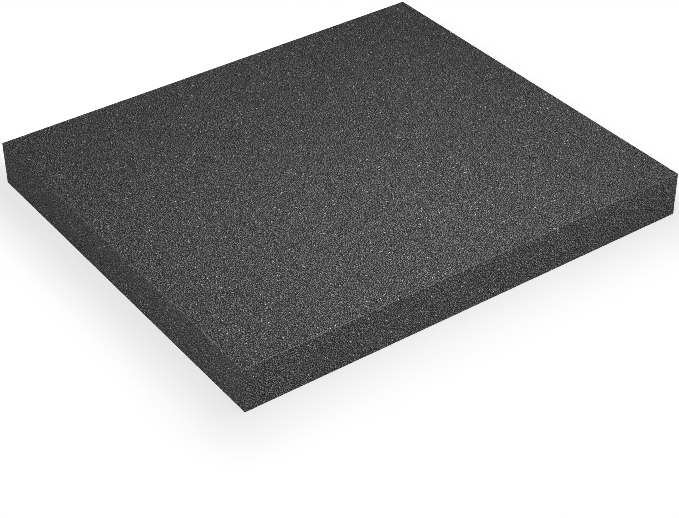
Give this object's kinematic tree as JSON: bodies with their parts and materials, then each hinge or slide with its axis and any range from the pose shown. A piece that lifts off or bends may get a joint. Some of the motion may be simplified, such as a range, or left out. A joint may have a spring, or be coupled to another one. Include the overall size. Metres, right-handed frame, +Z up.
{
  "type": "foam insert",
  "caption": "Flat rectangular slab of charcoal open-cell foam with knife-cut sides, laid in a case, drawer or box to cushion what lies on it.",
  "frame": {"origin": "centre of the underside, on the surface that the slab lies on", "axes": "+X along the length, +Y along the width, +Z up through the thickness"},
  "size_m": [0.4064, 0.3556, 0.0381],
  "materials": {
    "charcoal_foam": "matte charcoal open-cell polyurethane foam, finely pitted, with pale glints on the cell walls"
  },
  "bodies": {
    "root": {"foam_slab": "charcoal_foam"}
  },
  "joints": []
}
